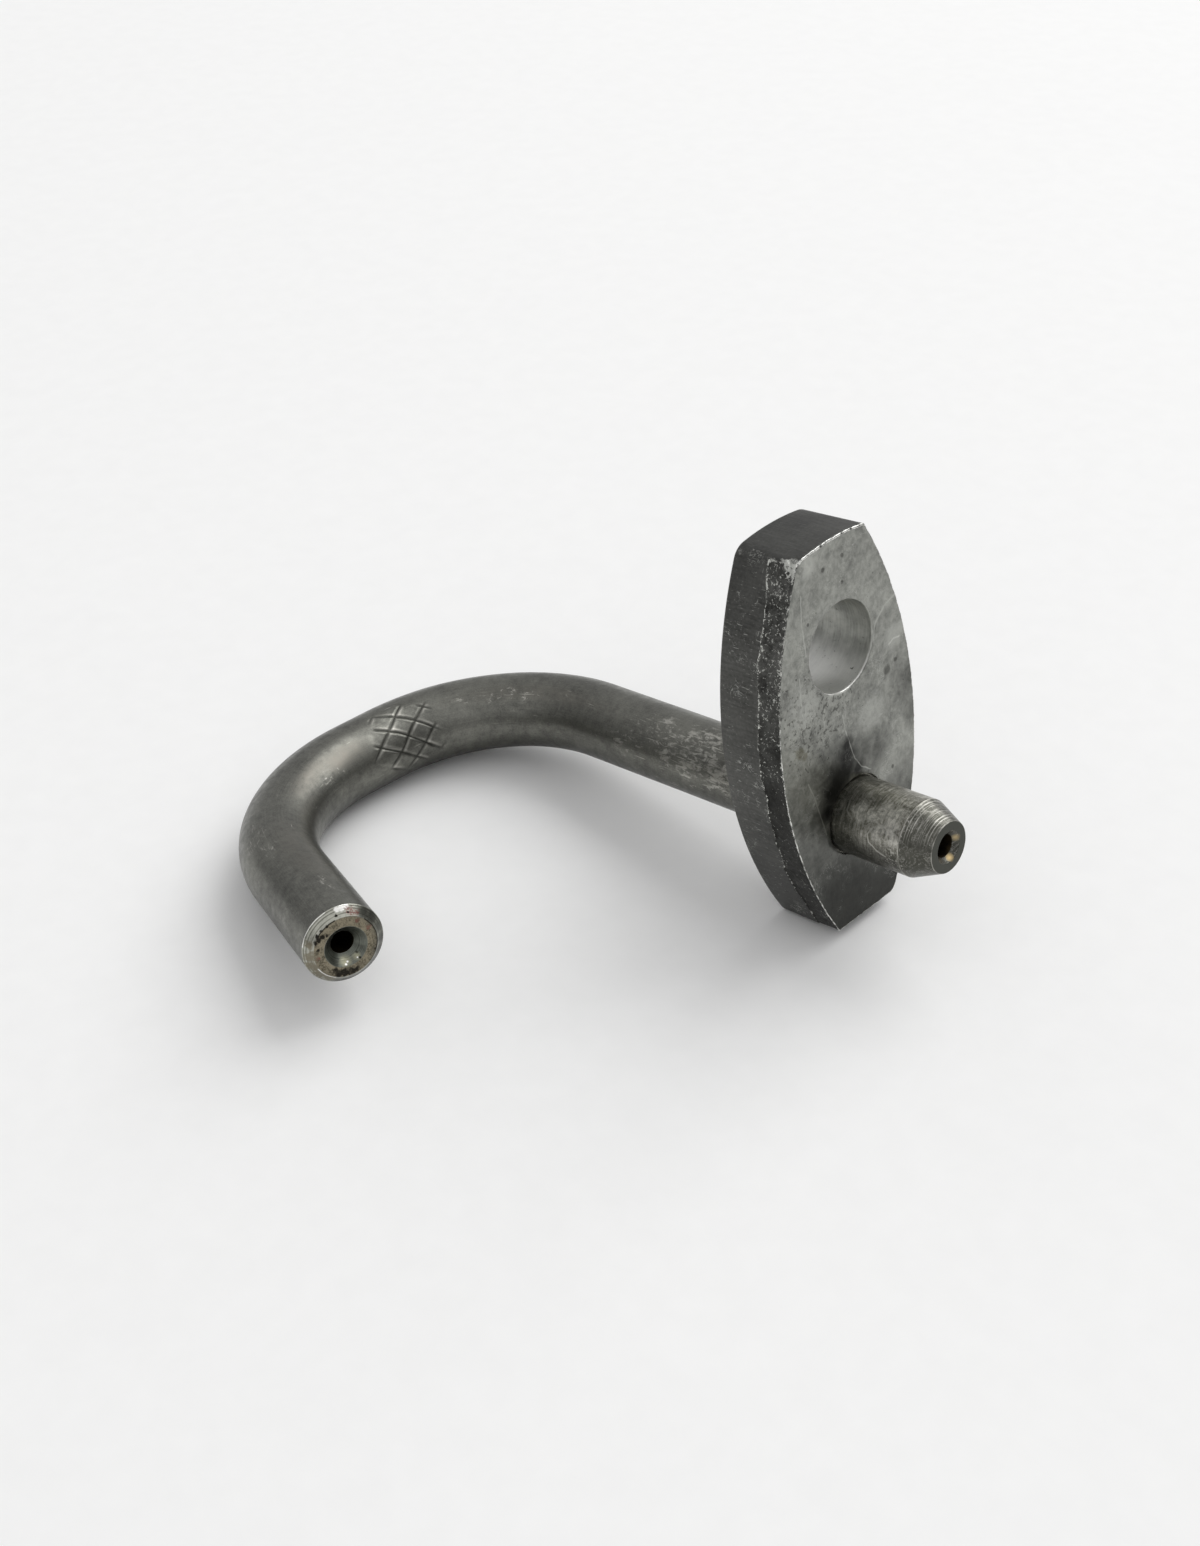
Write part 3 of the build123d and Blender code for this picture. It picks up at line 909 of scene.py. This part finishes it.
edgeFinish = {
    "coat": ((0.36, "#484846"), (0.64, "#6c6c69")),
    "shade": "#30302f",
    "fleck": "#bdbeb9",
    "bare": "#d6d7d1",
    "roughness": (0.3, 0.7, 0.4, 0.52),
    "bump": (0.25, 0.05),
    "soft": {
        "cloud": (5.0, 4, 0.5, 0),
        "grain": (0.3, 4, 0.6, 0),
        "streaks": ((2.6, 0.2, 0.2), 2, 0.5, 0),  # dragged across the edge by the punch
        "nicks": ((0.75, 0.1, 0.1), 1, 0.5, 0.4, (0, 0.2, 0)),
        "patches": (2.2, 3, 0.6, 0),
        "threads": (1.4, 3, 0.6, 1.4),
        "dots": (0.3, 2, 0.5, 0),
        "rubbed": (0.8, 6, 0.78, 0),
    },
    "crownedEnd": (27.9, 28.2, 0, 0.28),  # left darker
    "lowEnd": (4, -10, 0, 0.45),
    "nicks": (0.87, 0.93, 0, 0.8),
    "threads": (0.014, 0.004),
    "kept": (0.53, 0.62),
    "dots": (0.71, 0.78, 0, 0.8),
    "rubbed": (0.74, 0.94),
    "wornShare": 0.34,  # how much more the worn edges and the dent are rubbed
}


def shearedSteel(add, place, look):
    # the burnished part of a blanked edge, under a thin dark phosphate: smooth charcoal, short pale nicks
    up = add("SeparateXYZ", [place], output=2)
    edge, nick = [add("Attribute", output="Fac", attribute_name=key) for key in ("edge", "nick")]
    cloud, grain, streaks, nicks, patches, threads, dots, rubbed = softPatterns(add, place, look["soft"])
    tone = add("Mix", (0.35, cloud, streaks))
    tone = add("Mix", (0.3, tone, grain))
    ended = add("MapRange", (up, *look["crownedEnd"]))
    shaded = add("MapRange", (up, *look["lowEnd"]))
    shaded = add("Math", (ended, shaded), operation="MAXIMUM")

    # nicks: short scratches across the edge, dots, and thin threads kept only in patches
    nicks = add("Math", (patches, 0.35, nicks), operation="MULTIPLY_ADD")
    nicks = add("MapRange", (nicks, *look["nicks"]))
    kept = add("MapRange", (patches, *look["kept"]))
    threads = nearMask(add, threads, 0.5, *look["threads"])
    flecks = add("Math", (threads, kept), operation="MULTIPLY")
    for mark in (add("MapRange", (dots, *look["dots"])), nicks):
        flecks = add("Math", (flecks, mark), operation="MAXIMUM")
    clear = add("Math", (ended, -2.4, 0.75), operation="MULTIPLY_ADD")
    flecks = add("Math", (flecks, clear), operation="MULTIPLY")

    # its edges and corners are rubbed bare here and there, and so is the dent
    for worn in (edge, nick):
        rubbed = add("Math", (worn, look["wornShare"], rubbed), operation="MULTIPLY_ADD")
    rubbed = add("MapRange", (rubbed, *look["rubbed"]))
    layers = [(shaded, look["shade"]), (flecks, look["fleck"]), (rubbed, look["bare"])]
    relief = add("Mix", (0.5, grain, streaks))
    return tone, layers, relief, add("MapRange", (cloud, *look["roughness"]))


tornFinish = {
    "coat": ((0.38, "#363634"), (0.62, "#6c6c69")),
    "grime": "#242422",
    "fleck": "#d3d4ce",
    "roughness": 0.5,
    "bump": (0.6, 0.1),
    "soft": {"crumbs": (0.5, 6, 0.7, 0), "cloud": (2.4, 3, 0.5, 0), "specks": (0.27, 4, 0.65, 0.6)},
    "lowGrime": (19, 7, 0, 0.7),
    "moreSpecks": (6, 22, 0, 0.065),  # towards the top
    "specks": (0.735, 0.81),
}


def tornSteel(add, place, look):
    # the fractured part of a blanked edge: rough, nearly black, with bright specks on its high points
    up = add("SeparateXYZ", [place], output=2)
    edge, nick = [add("Attribute", output="Fac", attribute_name=key) for key in ("edge", "nick")]
    crumbs, cloud, specks = softPatterns(add, place, look["soft"])
    tone = add("Mix", (0.5, cloud, crumbs))
    darkened = add("MapRange", (up, *look["lowGrime"]))
    crowded = add("MapRange", (up, *look["moreSpecks"]))
    for value, share in ((edge, 0.15), (nick, 0.16), (crowded, 1.0), (cloud, 0.2)):
        specks = add("Math", (value, share, specks), operation="MULTIPLY_ADD")
    specks = add("MapRange", (specks, *look["specks"]))
    return tone, [(darkened, look["grime"]), (specks, look["fleck"])], crumbs, look["roughness"]


burrFinish = {
    "coat": ((0.5, "#575855"), (0.64, "#e9e9e4")),
    "roughness": 0.34,
    "bump": (0.4, 0.08),
    "soft": {"rubbed": (0.6, 5, 0.8, 0), "crumbs": (0.2, 3, 0.5, 0)},
    "lowerHalf": (16, 7, 0.01, 0.09),  # rubbed most
    "crownedEnd": (27.6, 28.2, 0, 0.08),
}


def burrSteel(add, place, look):
    # the thin burr along the seat face: bare steel, burnished where it was rubbed and dull between
    up = add("SeparateXYZ", [place], output=2)
    rubbed, crumbs = softPatterns(add, place, look["soft"])
    for part in ("lowerHalf", "crownedEnd"):
        more = add("MapRange", (up, *look[part]))
        rubbed = add("Math", (rubbed, more), operation="ADD")
    return rubbed, [], crumbs, look["roughness"]


seatFinish = {
    "coat": ((0.38, "#6d6e6a"), (0.6, "#a0a19b")),
    "rubbed": "#c4c5bf",
    "pit": "#373733",
    # painted shade
    "grime": "#232321",
    # painted reflection of the spigot
    "soot": "#141413",
    "stain": "#5d5840",
    "roughness": (0.3, 0.7, 0.32, 0.46),
    "bump": (0.32, 0.06),
    "soft": {
        "cloud": (6.0, 4, 0.5, 0),
        "mottle": (0.9, 7, 0.72, 0.3),
        "pits": (0.5, 4, 0.6, 0),
        "blotches": (1.5, 6, 0.75, 0.6),
        "threads": (2.0, 5, 0.66, 1.8),
        "kept": (2.9, 2, 0.5, 0),
        "scores": ((1000, 0.13, 2.6), 2, 0.5, 0.3, (0.12, 0, 0)),  # long scratches that run up the plate
        "fine": ((1000, 0.16, 3.0), 2, 0.5, 0, (0.35, 0, 0)),
    },
    "pitBand": (-3.9, 13.5, 8.5),  # y, z and reach of the part that has most pits
    "pitted": (0.33, 0.27),
    "blotched": (0.37, 0.28, 0, 0.7),
    "pitShade": 0.66,
    "threads": (0.013, 0.002),
    "kept": (0.5, 0.62, 0, 0.55),
    "scores": (0.66, 0.76, 0, 0.5),
    # painted shade low down
    "lowGrime": (11, -5, 0, 0.9),
    "grimeWaves": 7.0,
    "linesInGrime": 0.75,  # how much the scratches show through it
    "sootStrength": 0.9,
    "pits": {"spots": [  # y, z and radius of each, and so below
        (1.27, 26.67, 0.28), (-1.4, 26.36, 0.3), (0.93, 24.14, 0.26), (-4.07, 22.11, 0.22),
        (5.98, 12.72, 0.62), (7.3, 13.25, 0.3), (-0.9, 21.1, 0.2), (5.6, 2.4, 0.25)]},
    "stains": {"ragged": 0.7, "strength": 0.45, "spots": [(-6.92, 10.23, 0.8), (-6.3, 9.6, 0.5)]},
    # the spigot's painted reflection and shade, in the corner above it
    "sootSpots": {"ragged": 0.3, "crumbSize": 1.3, "core": 0.3, "spots": [
        (-0.8, 5.6, 2.4), (-2.0, 4.9, 2.7), (-3.1, 3.9, 2.2), (-0.65, 6.8, 1.9), (-0.55, 7.8, 1.3),
        (0.7, 4.8, 1.3), (-3.9, 2.4, 1.5)]},
    # painted shade in soft patches round the spigot and along the right edge
    "smudges": {"ragged": 0.4, "crumbSize": 1.6, "core": 0.1, "strength": 0.6, "spots": [
        (-2.6, 5.8, 4.4), (-4.6, 2.6, 2.6), (1.9, 6.0, 2.8), (3.2, 5.2, 3.0), (9.3, 10.5, 3.2),
        (9.6, 7.0, 2.6)]},
    "rubbedSpots": {"ragged": 0.8, "crumbSize": 0.9, "strength": 0.34, "spots": [
        (7.2, 15.6, 1.5), (8.4, 16.2, 0.8), (-3.3, 27.4, 1.1), (-5.6, 14.6, 2.4), (3.2, 9.4, 2.2)]},
    "lines": [  # strength, width and the points of each scratch
        (0.6, 0.1, [(-0.7, 11.2), (-0.55, 9.6), (-0.1, 7.89), (0.35, 6.0), (1.19, 4.75), (2.4, 3.7)]),
        (0.5, 0.11, [(-6.3, 6.6), (-5.8, 5.34), (-5.1, 2.6), (-4.52, 0.12)]),
        (0.6, 0.13, [(2.6, -5.6), (3.6, -5.9), (4.4, -5.4), (5.6, -4.8)]),
        (0.35, 0.16, [(4.3, 16.6), (4.95, 18.2), (6.3, 19.3), (8.2, 20.0)]),
        (0.9, 0.2, [(-2.1, 14.05), (-1.2, 13.7), (-0.2, 13.52), (0.7, 13.6)]),
        (0.7, 0.14, [(6.6, 15.2), (7.3, 15.5), (8.1, 15.4)]),
        (0.45, 0.09, [(-4.6, 25.2), (-4.9, 22.0), (-4.75, 19.2)]),
        (0.35, 0.08, [(-5.9, 17.5), (-6.1, 14.2), (-5.6, 11.5)]),
    ],
}


def seatFaceSteel(add, place, look):
    # the plate's rolled face: satin mid grey, scratched and mottled, with dark pits and stains, painted shade
    # low down and in soft patches, and a painted reflection of the spigot
    height = add("SeparateXYZ", [place], output=2)
    cloud, mottle, pits, blotches, threads, kept, scores, fine = softPatterns(add, place, look["soft"])
    tone = add("Mix", (0.6, cloud, mottle))

    # the pitted band: left of the bolt hole and below it, down to the spigot
    y, z, reach = look["pitBand"]
    band = add("VectorMath", (place, (0.0, y, z)), operation="DISTANCE")
    band = add("MapRange", (band, reach, 0.35 * reach))
    pitted = spotMask(add, place, **look["pits"])
    for pattern, more, key in ((pits, -0.13, "pitted"), (blotches, -0.1, "blotched")):
        found = add("Math", (band, more, pattern), operation="MULTIPLY_ADD")
        found = add("MapRange", (found, *look[key]))
        pitted = add("Math", (pitted, found), operation="MAXIMUM")
    pitShade = add("Math", (pitted, look["pitShade"]), operation="MULTIPLY")

    # threads, and long light scratches that run up the plate
    threads = nearMask(add, threads, 0.5, *look["threads"])
    kept = add("MapRange", (kept, *look["kept"]))
    threads = add("Math", (threads, kept), operation="MULTIPLY")
    scores = add("MapRange", (scores, *look["scores"]))
    scores = add("Math", (scores, band), operation="MULTIPLY")
    lines = lineMask(add, place, look["lines"])
    for mark in (threads, scores):
        lines = add("Math", (lines, mark), operation="MAXIMUM")

    # painted shade low down and in soft patches, and the spigot's painted reflection; scratches show through
    uneven = add("Math", (cloud, look["grimeWaves"], height), operation="MULTIPLY_ADD")
    low = add("MapRange", (uneven, *look["lowGrime"]), interpolation_type="SMOOTHSTEP")
    lessLines = add("Math", (lines, -look["linesInGrime"], 1.0), operation="MULTIPLY_ADD")
    darkened = add("Math", (low, spotMask(add, place, **look["smudges"])), operation="MAXIMUM")
    darkened = add("Math", (darkened, lessLines), operation="MULTIPLY")
    # the spigot's painted reflection
    reflectedSpigot = spotMask(add, place, strength=look["sootStrength"], **look["sootSpots"])
    reflectedSpigot = add("Math", (reflectedSpigot, lessLines), operation="MULTIPLY")
    layers = [(pitShade, look["pit"]), (spotMask(add, place, **look["rubbedSpots"]), look["rubbed"]),
              (lines, look["rubbed"]), (spotMask(add, place, **look["stains"]), look["stain"]),
              (darkened, look["grime"]), (reflectedSpigot, look["soot"])]

    relief = add("Mix", (0.4, mottle, fine))
    relief = add("Math", (relief, pitted), operation="SUBTRACT")
    relief = add("Math", (relief, lines), operation="ADD")
    return tone, layers, relief, add("MapRange", (mottle, *look["roughness"]))


holeFinish = {
    "coat": ((0.38, "#90918c"), (0.62, "#bdbeb8")),
    "rubbed": "#eeeeea",
    "speck": "#4b4a45",
    "roughness": 0.44,
    "bump": (0.12, 0.05),
    "soft": {
        "streaks": ((0.17, 2.5, 2.5), 3, 0.5, 0, (0, 0.3, 0)),
        "cloud": (1.6, 6, 0.65, 0),
        "specks": (0.5, 3, 0.5, 0),
    },
    "lowSide": (16.2, 13.8, 0, 0.62),  # brighter on the lower side
    "specks": (0.33, 0.25, 0, 0.8),
}


def drilledSteel(add, place, look):
    # the bolt hole's wall: bare, light grey, with faint streaks round it from the drill
    streaks, cloud, specks = softPatterns(add, place, look["soft"])
    tone = add("Mix", (0.65, streaks, cloud))
    low = add("MapRange", (add("SeparateXYZ", [place], output=2), *look["lowSide"]))
    specks = add("MapRange", (specks, *look["specks"]))
    return tone, [(low, look["rubbed"]), (specks, look["speck"])], streaks, look["roughness"]


makeFlange()


# Braze fillet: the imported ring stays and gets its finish

brazeFinish = {
    "coat": ((0.35, "#4d4436"), (0.65, "#7b6a4e")),
    "roughness": 0.48,
    "bump": (0.5, 0.15),
    "soft": {"flow": (1.2, 5, 0.5, 0.8)},
}


def brazeFiller(add, place, look):
    # brass filler that ran into the corner and dulled: brownish, uneven, slightly wavy
    flow = softPatterns(add, place, look["soft"])[0]
    return flow, [], flow, look["roughness"]


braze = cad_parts["braze_fillet"]
braze.data.materials.clear()
braze.data.materials.append(makeMaterial(brazeFiller, brazeFinish))
print("braze fillet: its filler metal is on")


# Floor, light and camera

boardFinish = {
    "coat": ((0.3, "#f3f3f2"), (0.7, "#f5f5f4")),
    "roughness": 0.75,
    "shader": {"Metallic": 0.0, "Specular IOR Level": 0.15},
    "soft": {"faint": (3.0, 4, 0.5, 0)},
}
setting = {
    "floorTilt": 9.07,  # degrees: the nozzle lies on the flange's low back edge and the underside of the hook
    "floorSize": 6.0,  # metres
    "horizon": "#a2a2a2",
    "zenith": "#eeeeef",
    "ceilingFrom": 0.46,  # how high the full light starts, as a sine
    "screen": "#101010",
    "screens": [  # the way to each grey screen, where its shade starts and is full, as cosines, and how dark
        ((-0.66, -0.74, 0.1), (0.5, 0.95), 0.62),  # beside the camera
        ((-0.52, 0.42, 0.74), (0.55, 0.97), 0.3),  # above, behind the hook
    ],
    "worldStrength": 0.94,
    "keyPower": 26.5,  # watts
    "keySize": 1.8,  # metres
    "keyPlace": (0.3, 1.5, 1.5),
}
camera = {
    "place": (0.11680, -0.12920, 0.11006),  # metres
    "turn": (59.3315, 8.2025, 45.0175),  # degrees
    "lens": 50.23,
    "longSide": 36.0,  # of the picture on the sensor
    "sees": (0.005, 20.0),  # metres
}


def whiteBoard(add, place, look):
    # a matt painted board: nearly white, with a faint fine grain
    faint = softPatterns(add, place, look["soft"])[0]
    return faint, [], None, look["roughness"]


def addObject(name, data, place=(0, 0, 0), turn=(0, 0, 0)):
    thing = bpy.data.objects.new(name, data)
    thing.location = place
    thing.rotation_euler = turn
    bpy.context.scene.collection.objects.link(thing)
    return thing


def makeFloor():
    tilt, roll = math.radians(setting["floorTilt"]), flange["dieRoll"]
    up = np.array([math.sin(tilt), 0, math.cos(tilt)])
    level = np.array([roll - flange["thickness"], 0, flange["bottom"] + roll]) @ up - roll
    half = setting["floorSize"] / 2
    along = Vector((math.cos(tilt), 0, -math.sin(tilt)))
    origin = Vector(up * level * mm)
    signs = ((-1, -1), (1, -1), (1, 1), (-1, 1))
    corners = [origin + along * x * half + Vector((0, y * half, 0)) for x, y in signs]
    mesh = bpy.data.meshes.new("floor")
    mesh.from_pydata(corners, [], [(0, 1, 2, 3)])
    mesh.materials.append(makeMaterial(whiteBoard, boardFinish))
    addObject("floor", mesh)


def makeLamp():
    lamp = bpy.data.lights.new("keySoftbox", "AREA")
    lamp.energy = setting["keyPower"]
    lamp.shape = "SQUARE"
    lamp.size = setting["keySize"]
    turn = Vector(setting["keyPlace"]).to_track_quat("Z", "Y").to_euler()  # it faces the nozzle
    addObject("keySoftbox", lamp, setting["keyPlace"], turn)


def makeRoom():
    world = bpy.data.worlds.new("room")
    bpy.context.scene.world = world
    world.use_nodes = True
    world.node_tree.nodes.clear()
    add = partial(addNode, world.node_tree)
    way = add("TexCoord", output="Generated")
    share = add("SeparateXYZ", [way], output=2)
    share = add("MapRange", (share, 0.0, setting["ceilingFrom"]))
    colour = add("Mix", (share, setting["horizon"], setting["zenith"]), data_type="RGBA")
    for middle, (start, full), darkness in setting["screens"]:
        towards = add("VectorMath", (way, Vector(middle).normalized()), operation="DOT_PRODUCT")
        shade = add("MapRange", (towards, start, full, 0.0, darkness), interpolation_type="SMOOTHSTEP")
        colour = add("Mix", (shade, colour, setting["screen"]), data_type="RGBA")
    light = add("Background", (colour, setting["worldStrength"]))
    add("OutputWorld", [light])


def makeCamera():
    lens = bpy.data.cameras.new("camera")
    lens.lens = camera["lens"]
    lens.sensor_width = camera["longSide"]
    lens.clip_start, lens.clip_end = camera["sees"]
    turn = Euler([math.radians(a) for a in camera["turn"]], "XYZ")
    bpy.context.scene.camera = addObject("camera", lens, camera["place"], turn)


makeFloor()
makeLamp()
makeRoom()
makeCamera()
bpy.context.scene.view_settings.view_transform = "Standard"
print("floor, light and camera are in place")
